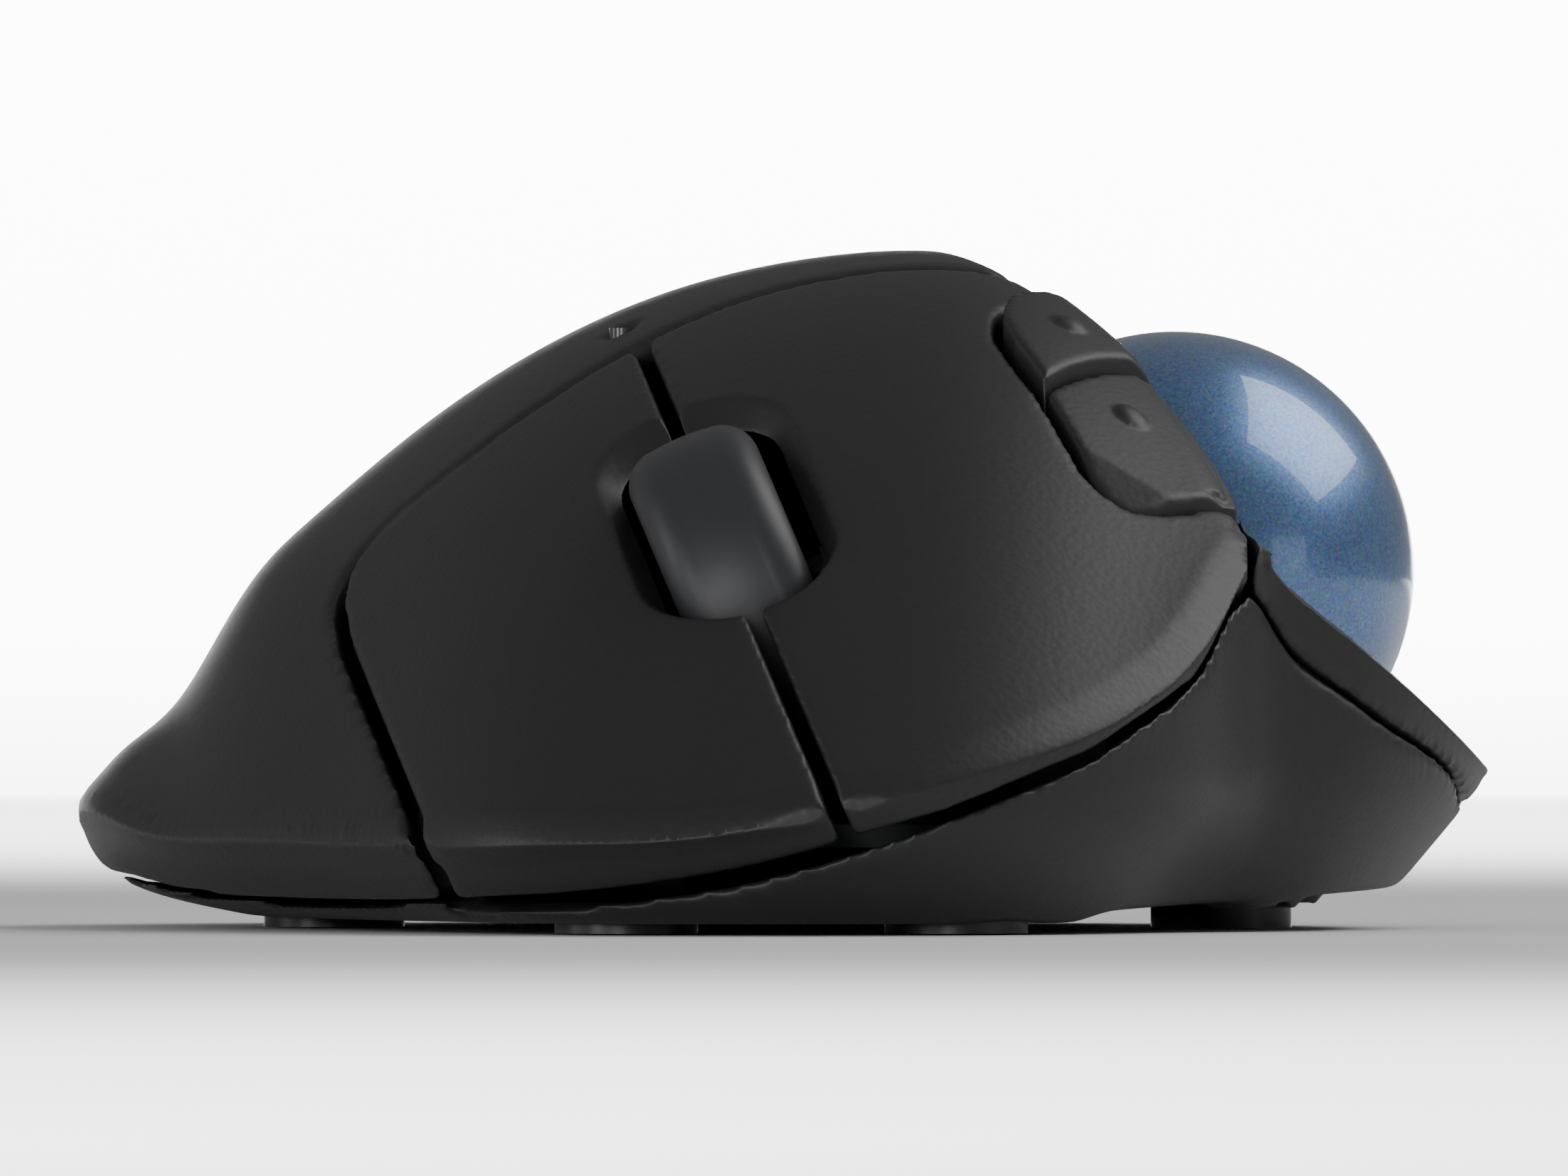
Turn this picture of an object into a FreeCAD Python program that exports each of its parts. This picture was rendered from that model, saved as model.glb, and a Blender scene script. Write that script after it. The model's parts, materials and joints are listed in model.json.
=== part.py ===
import FreeCAD, Part
import math
import os

os.makedirs("parts", exist_ok=True)
doc = FreeCAD.newDocument("trackball_mouse")
V = FreeCAD.Vector

# All sizes are in millimetres. The origin is the middle of the footprint on the desk, +Z is up,
# the buttons and wheel face -Y and the thumb ball sits on the +X side.

sheet = doc.addObject("Spreadsheet::Sheet", "dims")
SIZES = [
    ("wall", 2.0, "thickness of the moulded shells"),
    ("underside", 0.7, "height of the base plate above the desk"),
    ("seam", 0.2, "width of the closed seams between shells"),
    ("keygap", 0.9, "width of the open gaps round the two main buttons"),
    ("ballradius", 17.0, "radius of the thumb ball"),
    ("cupgap", 0.9, "clearance between the ball and its cup"),
    ("cupwall", 1.5, "thickness of the cup"),
    ("ballacross", 27.7, "centre of the ball, across"),
    ("ballalong", 2.0, "centre of the ball, along"),
    ("ballheight", 25.3, "centre of the ball, above the desk"),
    ("balltilt", 38.0, "lean of the ball opening towards the thumb, degrees"),
    ("decktilt", 23.0, "lean of the buttons, the slit and the wheel, degrees"),
    ("bearingradius", 1.25, "radius of the three support balls"),
    ("wheelradius", 12.5, "radius of the wheel over the tyre"),
    ("wheelwidth", 9.6, "width of the tyre"),
    ("hubradius", 9.6, "radius of the hub under the tyre"),
    ("axleradius", 1.2, "radius of the wheel axle"),
    ("axlelength", 21.0, "length of the wheel axle"),
    ("wheelalong", -36.0, "centre of the wheel, along"),
    ("wheelheight", 23.1, "centre of the wheel, above the desk"),
    ("celldiameter", 14.4, "diameter of the AA cell"),
    ("celllength", 49.0, "length of the AA cell without its button"),
    ("boardthick", 1.6, "thickness of the circuit boards"),
    ("boardheight", 6.0, "height of the underside of the main board"),
    ("footradius", 5.0, "radius of the glide feet"),
    ("footthick", 1.2, "thickness of the glide feet"),
    ("screwradius", 1.1, "radius of the case screws"),
    ("screwhead", 2.1, "radius of the screw heads"),
]
for number, (name, value, note) in enumerate(SIZES, 1):
    sheet.set("A%d" % number, note)
    sheet.set("B%d" % number, str(value))
    sheet.setAlias("B%d" % number, name)
doc.recompute()


def size(name):
    return float(sheet.get(name))


WALL = size("wall")
UNDER = size("underside")
SEAM = size("seam")
BALL = V(size("ballacross"), size("ballalong"), size("ballheight"))
BALL_R = size("ballradius")


# ---------------------------------------------------------------- curves and surfaces

def curve(stations):
    """A smooth curve through rows of (position, value, ...); the function gives the values at a position."""
    columns = []
    for k in range(1, len(stations[0])):
        c = Part.BSplineCurve()
        c.interpolate(Points=[V(s[0], s[k], 0) for s in stations],
                      Parameters=[float(s[0]) for s in stations])
        columns.append(c)
    low, high = stations[0][0], stations[-1][0]

    def at(x):
        x = min(max(x, low), high)
        return [c.value(x).y for c in columns]
    return at


def steps(first, last, count):
    return [first + (last - first) * i / (count - 1) for i in range(count)]


def net(rows, closed=False):
    """A smooth cubic face held by a net of points, closed round the first direction when asked."""
    n, m = len(rows), len(rows[0])
    along = list(range(n + 1)) if closed else list(range(n - 2))
    along_mult = [1] * (n + 1) if closed else [4] + [1] * (n - 4) + [4]
    across_mult = [4] + [1] * (m - 4) + [4]
    surface = Part.BSplineSurface()
    surface.buildFromPolesMultsKnots(rows, along_mult, across_mult, along, list(range(m - 2)),
                                     closed, False, 3, 3)
    return surface.toShape()


def solid_of(faces):
    shell = Part.makeShell(faces)
    shell.sewShape()
    shell.fix(0.01, 0.001, 0.1)
    solid = Part.makeSolid(shell)
    if solid.Volume < 0:
        solid.reverse()
    return solid


def swept(face, way):
    solid = face.extrude(way)
    if solid.Volume < 0:
        solid.reverse()
    return solid


# ---------------------------------------------------------------- the palm hump

# across, height of the crest, where along the mouse the crest runs
crest = curve([
    (-60, 2.5, 13), (-50, 9.3, 13), (-46.6, 13.2, 12.6), (-43.6, 15.3, 12), (-40.5, 20.4, 11.2),
    (-37.5, 25.3, 10.4), (-34.5, 28.3, 9.7), (-28, 33.9, 8.5), (-18, 40.8, 6.5), (-8, 45.3, 5),
    (2, 47.6, 4), (9, 48.15, 2.5), (13.5, 47.8, 1.2), (20, 45.4, -2), (29, 39.6, -7), (38, 33, -9), (60, 28, -9)])
# across, where the skin meets the front edge and how high it is there
nose = curve([
    (-60, 6, 2.5), (-50, -8, 6.3), (-44, -20, 5.5), (-38, -32, 4.8), (-30, -47, 4.6),
    (-22, -60, 5.2), (-10, -66.3, 7.0), (0, -67.3, 9.3), (10, -65.5, 12.3), (20, -58.5, 16.3),
    (28, -48.5, 21.2), (36, -44, 23), (60, -40, 22)])
# the same for the back edge
tail = curve([
    (-60, 20, 2), (-50, 34, 6.3), (-44, 44, 5.2), (-34, 56, 5), (-22, 64, 5), (-8, 67.5, 5),
    (6, 67.8, 5), (18, 64.5, 5), (30, 57, 5), (42, 46, 5), (60, 30, 6)])


def roundness(x):
    return 1.2 if x > -30 else max(0.45, 1.2 + (x + 30) * 0.05)


def hump(x, y):
    """Height of the palm hump: a curve running down to the front edge and another to the back."""
    top, ridge = crest(x)
    front, front_z = nose(x)
    back, back_z = tail(x)
    b = roundness(x)
    norm = math.sqrt(1 + b * b) - 1
    span = ridge - front
    if y <= ridge:
        s = (ridge - y) / span
        return top - (top - front_z) * (math.sqrt(1 + b * b * s * s) - 1) / norm
    k = (top - front_z) * b * b / (2 * norm * span * span)
    reach = back - ridge
    k = min(k, (top - back_z) / reach ** 2)
    c = max(0.0, (top - back_z - k * reach ** 2) / reach ** 4)
    return top - k * (y - ridge) ** 2 - c * (y - ridge) ** 4


# ---------------------------------------------------------------- the thumb scoop and wing

# along, where the rim between palm and thumb side runs, how wide the hollow below it is
rim = curve([
    (-75, 34, 3), (-50, 32.6, 3), (-36, 31.9, 3), (-31, 31.1, 3.5), (-25, 28.6, 5), (-20, 25.4, 7),
    (-14, 20.5, 9), (-8, 16.2, 10), (-2, 13.6, 11), (5, 12.7, 12), (12, 13.2, 12), (20, 15.8, 13),
    (28, 20.5, 14), (35, 27.5, 14), (42, 35, 14), (50, 44, 14), (75, 70, 14)])


def wing(x, y):
    d = y - BALL.y
    return BALL.z + 0.75 - (x - BALL.x) * 0.649 + (0.00275 if d < 0 else -0.0075) * d * d


def scoop(x, y):
    """Height of the thumb side: the sloping wing, rising in a hollow to the rim."""
    edge, width = rim(y)
    slope = rim(y + 0.5)[0] - rim(y - 0.5)[0]
    u = (x - edge) / math.sqrt(1 + slope * slope) / width
    rise = max(0.8, hump(edge, y) - wing(edge, y))
    return wing(x, y) + (rise * (1 - u) ** 2 if u < 1 else 0)


def lowered(height, drop):
    """The same surface sunk by a thickness measured square to it."""
    def at(x, y):
        gx = height(x + 0.4, y) - height(x - 0.4, y)
        gy = height(x, y + 0.4) - height(x, y - 0.4)
        return height(x, y) - drop * math.sqrt(1 + (gx * gx + gy * gy) / 0.64)
    return at


def hump_skin(height):
    across = steps(-57, -33, 13) + steps(-30, 57, 27)
    return net([[V(x, y, height(x, y)) for y in steps(-76, 76, 36)] for x in across])


def scoop_skin(height):
    rows = []
    for u in (0, 0.03, 0.06, 0.1, 0.14, 0.18, 0.23, 0.28, 0.34, 0.4, 0.5, 0.6, 0.7, 0.8, 0.9, 1.0):
        row = []
        for y in steps(-75, 75, 41):
            start = rim(y)[0] - 5 - 0.3 * max(0.0, y - 10)
            x = start + u * (64 - start)
            row.append(V(x, y, height(x, y)))
        rows.append(row)
    return net(rows)


# ---------------------------------------------------------------- the side walls

# plan of the widest level, anticlockwise from the back: across, along, and how far the
# wall tucks in at the desk and at the bend above it
PLAN = [
    (-6, 67.4, 9, 3), (-21, 64.2, 9, 3), (-35, 54.8, 10, 3), (-45, 41, 11, 3), (-49.6, 26, 12, 3),
    (-50.3, 11, 13, 3), (-48.4, -4, 13, 3), (-43.3, -19, 12, 3), (-36.3, -33, 10, 3),
    (-29.3, -46.5, 8, 3), (-22, -59, 6, 3), (-11, -66, 6, 3.5), (3, -67.9, 7, 4.5), (14, -64.6, 7.5, 5),
    (23.4, -57, 7.5, 5), (29.4, -47, 7.5, 5), (31.6, -38.5, 7, 5), (34, -32.5, 6, 4.5),
    (41, -28.6, 7, 5.5), (47.6, -17, 9, 6.6), (50.6, 0, 11, 6.6), (49.6, 16, 11, 6.6),
    (45, 32, 12, 6), (36.4, 46, 11, 5), (24.3, 57.9, 10, 4), (9, 65.6, 9, 3)]
WIDEST = 9.6
BEND = 3.2


def smooth(u):
    u = min(1.0, max(0.0, u))
    return u * u * (3 - 2 * u)


def plan_ring(z, inset):
    """The outline at one height, pulled in by an extra inset."""
    points = []
    for i, (x, y, foot, middle) in enumerate(PLAN):
        x0, y0 = PLAN[i - 1][:2]
        x1, y1 = PLAN[(i + 1) % len(PLAN)][:2]
        length = math.hypot(x1 - x0, y1 - y0)
        thumb = smooth((x - 31) / 8)
        palm = smooth((-x - 38) / 8)
        widest = WIDEST + 1.6 * thumb
        if z <= BEND:
            tuck = middle + (foot - middle) * ((BEND - z) / (BEND - 0.7)) ** 1.5
        elif z <= widest:
            tuck = middle * ((widest - z) / (widest - BEND)) ** (1.35 + 1.85 * palm - 0.3 * thumb)
        else:
            tuck = 0
        tuck += inset
        points.append(V(1.005 * x - (y1 - y0) / length * tuck, 1.01 * y + (x1 - x0) / length * tuck, z))
    return points


def walls(bottom, inset):
    low = [bottom + share * (3.4 - bottom) for share in (0, 0.25, 0.55, 1)]
    levels = [plan_ring(z, inset) for z in low + [4.8, 6.6, 8.6, 10.6, 14, 30, 60]]
    side = net([[level[i] for level in levels] for i in range(len(PLAN))], closed=True)
    ends = [e for e in side.Edges if e.BoundBox.ZLength < 0.01]
    return solid_of([side] + [Part.Face(Part.Wire([e])) for e in ends])


outer_hump = hump_skin(hump)
outer_scoop = scoop_skin(scoop)
outer = walls(UNDER, 0).common(swept(outer_hump, V(0, 0, -90)))
outer = outer.cut(swept(outer_scoop, V(0, 0, 70)))


def under_wing(lift):
    """The underside steps up beneath the thumb wing and rises gently to the side."""
    profile = [V(20.2, -90, -9), V(20.2, -90, 0.7 + lift), V(22.6, -90, 1.5 + lift), V(60, -90, 3.9 + lift), V(60, -90, -9)]
    return Part.Face(Part.makePolygon(profile + profile[:1])).extrude(V(0, 180, 0))


def lift_at(x):
    """How much higher the underside is than the rest at this place across."""
    return 0.0 if x < 21 else 0.8 + (x - 22.6) * 2.4 / 37.4


outer = outer.cut(under_wing(0))


def inside_of(z0, drop, side_inset):
    """The hollow left inside the shell."""
    room = walls(z0, side_inset).common(swept(hump_skin(lowered(hump, drop)), V(0, 0, -90)))
    return room.cut(swept(scoop_skin(lowered(scoop, drop)), V(0, 0, 70)))


FLOOR = 1.5
hollow = inside_of(UNDER + FLOOR, WALL, WALL).cut(under_wing(1.1))


# ---------------------------------------------------------------- cutting tools

LEAN = math.radians(size("decktilt"))
DECK = FreeCAD.Placement(V(0, 0, 0), FreeCAD.Rotation(V(0, 1, 0), -size("decktilt")))
OUTWARD = V(-math.sin(LEAN), 0, math.cos(LEAN))
SLIT = 6.75


def polygon(points):
    return Part.Face(Part.makePolygon([V(p[0], p[1], 0) for p in points] + [V(points[0][0], points[0][1], 0)]))


def post(points, z0, z1):
    """An upright prism over a plan polygon."""
    face = polygon(points)
    face.translate(V(0, 0, z0))
    return face.extrude(V(0, 0, z1 - z0))


def deck_post(points, q0, q1):
    """A prism over a polygon drawn in the leaning deck plane, swept square to it."""
    prism = post(points, q0, q1)
    prism.Placement = DECK.multiply(prism.Placement)
    return prism


def rounded(half_x, half_y, r, z0, z1):
    """A prism on a rectangle with rounded corners, about its own origin."""
    corners = []
    for cx, cy, start in ((1, 1, 0), (-1, 1, 90), (-1, -1, 180), (1, -1, 270)):
        for k in range(7):
            turn = math.radians(start + k * 15)
            corners.append((cx * (half_x - r) + r * math.cos(turn), cy * (half_y - r) + r * math.sin(turn)))
    return post(corners, z0, z1)


# height of the split between the covers and the base along the front: the lower lip of the
# buttons, then the edge of the wing; with the line of the front edge itself
split_front = curve([
    (-64, 5.4, 10), (-48, 4.3, -5), (-45, 3.3, -14), (-39.5, 2.4, -26), (-32.8, 2.0, -40), (-24.9, 2.3, -55),
    (-21.5, 2.55, -60), (-16, 2.8, -64), (-9, 3.6, -66.5),
    (-2, 4.9, -67.5), (4, 6.6, -67.5), (10, 8.6, -66), (16, 11.0, -63.5), (22, 13.9, -58.5),
    (26, 16.8, -53), (29.3, 20.2, -47), (31.4, 24.3, -39), (32.6, 24.2, -35), (34.6, 20.9, -32.5),
    (37.8, 17.9, -30.5), (40.9, 15.7, -28.5), (44.5, 13.5, -23), (47.4, 11.5, -17.5), (49.4, 9.3, -9),
    (64, 4, 10)])


def split(x, y):
    front, edge = split_front(x)
    level = 3.9 + 5.4 * smooth((x - 30) / 18.0) * smooth((48 - y) / 50.0)
    return front + (min(level, front) - front) * smooth((y - edge - 4) / 12.0)


def split_skin(shift):
    xs = steps(-62, 20, 22) + steps(22, 40, 19) + steps(42, 62, 9)
    return net([[V(x, y, split(x, y) + shift) for y in steps(-80, 80, 30)] for x in xs])


under_split = swept(split_skin(0), V(0, 0, -90))
under_seam = swept(split_skin(-SEAM), V(0, 0, -90))

# plan of the two main buttons, bounded by the rim on the thumb side
rim_line = [(rim(y)[0] + 0.4, y) for y in steps(-40, -3, 20)]
# the seam behind the buttons, in the deck plane: across, along
BACK_SEAM = [(80, -9.1), (30.5, -9.1), (24.4, -9.1), (17.8, -9.8), (12.2, -11.3), (5.7, -13.5), (-0.9, -15.2),
             (-7.4, -15.6), (-11.9, -14.7), (-15.2, -13.8), (-17.3, -14.2), (-18.8, -15.8), (-19.6, -18.6), (-20.1, -24)]


def button_field(grow):
    """Everything in the outline of the two main buttons, grown or shrunk by a margin."""
    seam = [(p - grow * smooth((-p - 12) / 8), y + grow * 0.4 * smooth((p + 20) / 6)) for p, y in BACK_SEAM]
    deck = deck_post([(-19.9 - grow, -80), (80, -80)] + seam, -40, 90)
    plan = post([(-60, -80), (60, -80), (60, -37.5)] + [(x + grow * 0.3, y) for x, y in rim_line]
                + [(rim_line[-1][0], 10), (-60, 10)], -10, 90)
    return deck.common(plan)


half_slit = 0.5
field = button_field(0)
field_hole = button_field(size("keygap"))
left_half = deck_post([(-90, -90), (SLIT - half_slit, -90), (SLIT - half_slit, 20), (-90, 20)], -60, 120)
right_half = deck_post([(SLIT + half_slit, -90), (120, -90), (120, 20), (SLIT + half_slit, 20)], -60, 120)


# ---------------------------------------------------------------- frames of the moving pieces

# the wheel sits in its own frame: across the deck, along the mouse, outward
WHEEL = V(SLIT / math.cos(LEAN) - size("wheelheight") * math.tan(LEAN), size("wheelalong"), size("wheelheight"))
wheel_deck = FreeCAD.Placement(WHEEL, DECK.Rotation)
SLOPE = 36.0
wheel_slope = FreeCAD.Placement(WHEEL, DECK.Rotation.multiply(FreeCAD.Rotation(V(1, 0, 0), SLOPE)))
well = rounded(5.9, 12.7, 5.0, -3, 40)
well.Placement = wheel_slope.multiply(FreeCAD.Placement(V(0.4, 0.95, 0), FreeCAD.Rotation()))


def skin_frame(x, y, depth):
    """A frame under the hump skin: +Z is the outward normal, +Y runs towards the back."""
    gx = (hump(x + 0.5, y) - hump(x - 0.5, y))
    gy = (hump(x, y + 0.5) - hump(x, y - 0.5))
    normal = V(-gx, -gy, 1)
    normal.normalize()
    spot = V(x, y, hump(x, y)) - normal * depth
    return FreeCAD.Placement(spot, FreeCAD.Rotation(V(0, 0, 0), V(-0.45, 1, gy), normal, "ZYX"))


def rod(radius, length, frame):
    """A round bar starting at the frame's origin along its +Z."""
    bar = Part.makeCylinder(radius, length)
    bar.Placement = frame
    return bar


def block(dx, dy, dz, frame):
    """A block centred across its frame and standing on its origin."""
    solid = Part.makeBox(dx, dy, dz, V(-dx / 2, -dy / 2, 0))
    solid.Placement = frame
    return solid


def fused(first, others):
    for other in others:
        first = first.fuse(other)
    return first


def at(x, y, z):
    return FreeCAD.Placement(V(x, y, z), FreeCAD.Rotation())


def skin_band(top, bottom):
    """The layer of the hump between two depths below its skin."""
    layer = walls(UNDER, 1.0).common(swept(hump_skin(lowered(hump, top)), V(0, 0, -90)))
    return layer.cut(swept(hump_skin(lowered(hump, bottom)), V(0, 0, -90)))


SCREWS = [(-31, -9), (-30, 37), (12, 47), (35, 20), (33, -23)]
BOARD_TOP = size("boardheight") + size("boardthick")
SWITCH_TALL = 6.5
PRIMARY_SWITCH = V(19.5, -46.5, BOARD_TOP)
SECONDARY_SWITCH = V(-13.6, -44.3, BOARD_TOP)
upper = outer.cut(under_split)
plates = upper.common(field).cut(hollow).cut(well)


# ---------------------------------------------------------------- main buttons

# the side keys stand in a pocket along the rim
KEY_PLAN = [(20.0, -14.1), (18.5, -15.2), (17.2, -16.4), (16.1, -17.8), (15.5, -19.8), (15.4, -22.3), (16.2, -24.9),
            (18.4, -29.6), (20.3, -34.0), (21.4, -36.6), (22.6, -37.8), (24.1, -38.2), (26, -37.3), (28.2, -35.5),
            (30.2, -33.7), (36, -29.5), (36, -6), (23, -12)]
KEY_STEP = [(10, -37), (18.4, -29.9), (20.1, -27.2), (22.1, -24.6), (24.2, -22.4), (26, -21), (45, -12)]
KEY_GAP = 0.6


def key_strip(grow):
    """The side key pocket, an upright prism grown outward by a margin."""
    points = []
    for i, (x, y) in enumerate(KEY_PLAN):
        x0, y0 = KEY_PLAN[i - 1]
        x1, y1 = KEY_PLAN[(i + 1) % len(KEY_PLAN)]
        length = math.hypot(x1 - x0, y1 - y0)
        points.append((x + (y1 - y0) / length * grow, y - (x1 - x0) / length * grow))
    return post(points, -10, 80)


tongue_root = skin_band(1.2, 3.6)
tongue_leaf = skin_band(2.35, 3.6)
TRAVEL_GAP = 0.8


def strip(p0, p1, y0, y1):
    return deck_post([(p0, y0), (p1, y0), (p1, y1), (p0, y1)], -60, 120)


def button(half, p0, p1, seam, switch):
    """A button plate with a springy tongue across its rear seam and a stem over its switch."""
    root = tongue_root.common(strip(p0, p1, seam - 6.5, seam - 0.6))
    leaf = tongue_leaf.common(strip(p0, p1, seam - 2, seam + 12))
    foot = switch.z + SWITCH_TALL + TRAVEL_GAP
    top = min(hump(switch.x + dx, switch.y + dy) for dx in (-1.8, 1.8) for dy in (-1.5, 1.5)) - 1.1
    stem = Part.makeBox(3.6, 3.0, top - foot, V(switch.x - 1.8, switch.y - 1.5, foot))
    return fused(plates.common(half), [root, leaf, stem])


primary = button(right_half, 12, 24, -12.2, PRIMARY_SWITCH).cut(key_strip(KEY_GAP))
secondary = button(left_half, -14, 2, -16.4, SECONDARY_SWITCH)


# ---------------------------------------------------------------- side keys

def proud(x, y):
    return hump(x, y) + 1.3


key_block = walls(UNDER, 0).common(swept(hump_skin(proud), V(0, 0, -90)))
key_block = key_block.cut(swept(scoop_skin(scoop), V(0, 0, 70)))
key_block = key_block.cut(swept(hump_skin(lowered(hump, 2.4)), V(0, 0, -90)))
key_block = key_block.common(key_strip(0)).common(button_field(0))
KEY_DEPTH = 7.6
forward_frame = skin_frame(24.4, -29.0, KEY_DEPTH)
back_frame = skin_frame(20.1, -20.6, KEY_DEPTH)
side_frame = skin_frame(22.3, -24.8, KEY_DEPTH + 0.4)
TACT = 2.0


def key(region, frame):
    stem = rod(1.1, KEY_DEPTH - 1.2 - TACT - 0.6, frame.multiply(at(0, 0, TACT + 0.6)))
    return key_block.common(region).fuse(stem)


forward = key(post(KEY_STEP + [(45, -60), (10, -60)], -10, 80), forward_frame)
back = key(post([(x, y + 0.6) for x, y in KEY_STEP] + [(45, 20), (10, 20)], -10, 80), back_frame)


# ---------------------------------------------------------------- top cover

TILT = FreeCAD.Rotation(V(0, 1, 0), size("balltilt"))
socket = FreeCAD.Placement(BALL, TILT)
CUP_TOP = -5.4
opening = rod(BALL_R + 1.1, 60, socket.multiply(at(0, 0, CUP_TOP)))
CUP_OUT = BALL_R + size("cupgap") + size("cupwall")
ball_room = Part.makeSphere(CUP_OUT + 0.3, BALL).common(block(60, 60, 40, socket.multiply(at(0, 0, CUP_TOP - 40 + 0.2))))
LIGHT = (-11.4, -7.2)
bosses = [rod(3.0, 50, at(x, y, 5.7)).common(hollow) for x, y in SCREWS]
cover = upper.cut(field_hole).cut(hollow)
cover = fused(cover, bosses)
cover = cover.cut(opening).cut(ball_room)
cover = cover.cut(walls(1.0, 3.0).common(Part.makeBox(140, 160, 1.25, V(-70, -80, 1.0))))
for x, y in SCREWS:
    cover = cover.cut(rod(size("screwradius") + 0.02, 10, at(x, y, 4)))
cover = cover.cut(rod(1.0, 20, at(LIGHT[0], LIGHT[1], 35)))


# ---------------------------------------------------------------- base

BAY = (-24.5, -7.5, -28.0, 48.0)
CELL = V(-16, -24.5, 0.7 + 1.5 + 0.3 + size("celldiameter") / 2)
DOOR_TRAVEL = 4.0
base = outer.common(under_seam).cut(hollow)
lip = swept(split_skin(-1.1), V(0, 0, 60)).cut(walls(0.5, 2.6)).common(
    deck_post([(-20.8, -90), (90, -90), (90, -34), (-20.8, -34)], -40, 90)).common(
    post([(-60, -90), (32.3, -90), (32.3, -35.2), (-60, -35.2)], -5, 70))
base = base.cut(lip)
bay_block = Part.makeBox(20, 78.5, 10.5, V(BAY[0] - 1.5, BAY[2] - 1.5, 1.2))
pad = Part.makeBox(20, 6, 3.0, V(BAY[0] - 1.5, BAY[3] - 0.5, 1.2))
extras = [bay_block, pad]
for x, y in SCREWS:
    extras.append(rod(3.2, 4.2, at(x, y, 1.5)))
STANDS = [(-20, -44), (-8, -51), (13, -50), (21, -33), (-19, -34)]
for x, y in STANDS:
    extras.append(rod(1.8, size("boardheight") - 1.5, at(x, y, 1.5)))
SENSOR = V(BALL.x + 1.0, BALL.y, 0)
for dx, dy in ((-5.5, -5.5), (5.5, -5.5), (-5.5, 5.5), (5.5, 5.5)):
    extras.append(rod(1.4, 1.6, at(SENSOR.x + dx, SENSOR.y + dy, 2.1)))
PIVOT = V(0, 15, -8)
for side in (-1, 1):
    arm = block(1.6, 5, 34, wheel_deck.multiply(at(side * 8.4, PIVOT.y, -39.5)))
    arm = arm.fuse(rod(2.5, 1.6, wheel_deck.multiply(FreeCAD.Placement(
        V(side * 8.4 - 0.8, PIVOT.y, PIVOT.z + 2.0), FreeCAD.Rotation(V(0, 1, 0), 90)))))
    extras.append(arm.common(hollow))
tongue = walls(2.0, WALL + 0.1).cut(walls(1.8, WALL + 1.2)).common(Part.makeBox(90, 80, 8, V(-43, 2, 2.0)))
tongue = tongue.common(swept(split_skin(1.2), V(0, 0, -90))).cut(under_wing(0.4))
extras.append(tongue.cut(cover))
base = fused(base, [extra.common(walls(UNDER, 0.4)) for extra in extras])
base = base.cut(Part.makeBox(BAY[1] - BAY[0], BAY[3] - BAY[2], 1.5 + 0.01, V(BAY[0], BAY[2], UNDER - 0.01)))
base = base.cut(Part.makeBox(BAY[1] - BAY[0] - 0.6, 27.2 - BAY[2], 20, V(BAY[0] + 0.3, BAY[2] + 0.3, UNDER)))
base = base.cut(Part.makeBox(BAY[1] - BAY[0] - 0.6, 19.3, 20, V(BAY[0] + 0.3, 28.4, UNDER)))
base = base.cut(Part.makeBox(BAY[1] - BAY[0], DOOR_TRAVEL + 0.6, 1.5, V(BAY[0], BAY[3] - 0.1, UNDER)))
pin_hole = FreeCAD.Placement(V(-14, PIVOT.y, PIVOT.z), FreeCAD.Rotation(V(0, 1, 0), 90))
base = base.cut(rod(size("axleradius") + 0.05, 28, wheel_deck.multiply(pin_hole)))
for x, y in SCREWS:
    base = base.cut(rod(size("screwradius") + 0.2, 8, at(x, y, 0)))
    base = base.cut(rod(size("screwhead") + 0.3, 1.5 + lift_at(x), at(x, y, 0.5)))
EJECT = V(BALL.x - 10.2, BALL.y, 0)
base = base.cut(rod(4.0, 5, at(EJECT.x, EJECT.y, 0)))
FEET = [(-11, -51), (12, -50), (31, 2), (-32, 10), (2, 50)]
for x, y in FEET:
    base = base.cut(rod(size("footradius"), size("footthick") + lift_at(x), at(x, y, 0)))
SLOT = V(-4.5, -42, 0)
PAIR = V(14, -36, 0)
base = base.cut(Part.makeBox(9, 4, 4, SLOT))
base = base.cut(rod(2.2, 4, at(PAIR.x, PAIR.y, 0)))
base = base.cut(ball_room)
pressed = primary.copy()
pressed.rotate(V(12, -6.5, 45), V(math.cos(LEAN), 0, math.sin(LEAN)), 0.7)
base = base.cut(pressed)


# ---------------------------------------------------------------- document objects

def node(name, shape, place=None):
    """A moulded piece: its shape goes in first, its place after."""
    piece = doc.addObject("Part::Feature", name)
    piece.Label = name
    piece.Shape = shape
    piece.Placement = place or FreeCAD.Placement()
    nodes.append(piece)
    return piece


nodes = []
node("bottom_case", base)
node("top_cover", cover)
node("primary_button", primary)
node("secondary_button", secondary)
node("forward_button", forward)
node("back_button", back)


def solid_object(kind, name, frame, values, keep=True):
    """A primitive whose sizes are either numbers or expressions on the sheet."""
    item = doc.addObject("Part::" + kind, name)
    item.Label = name
    for key_name, value in values.items():
        if isinstance(value, str):
            item.setExpression(key_name, value)
        else:
            setattr(item, key_name, value)
    item.Placement = frame
    if keep:
        nodes.append(item)
    return item


def combined(kind, name, first, second):
    item = doc.addObject("Part::" + kind, name)
    item.Label = name
    if kind == "Cut":
        item.Base, item.Tool = first, second
    else:
        item.Shapes = [first] + second
    nodes.append(item)
    return item


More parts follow.
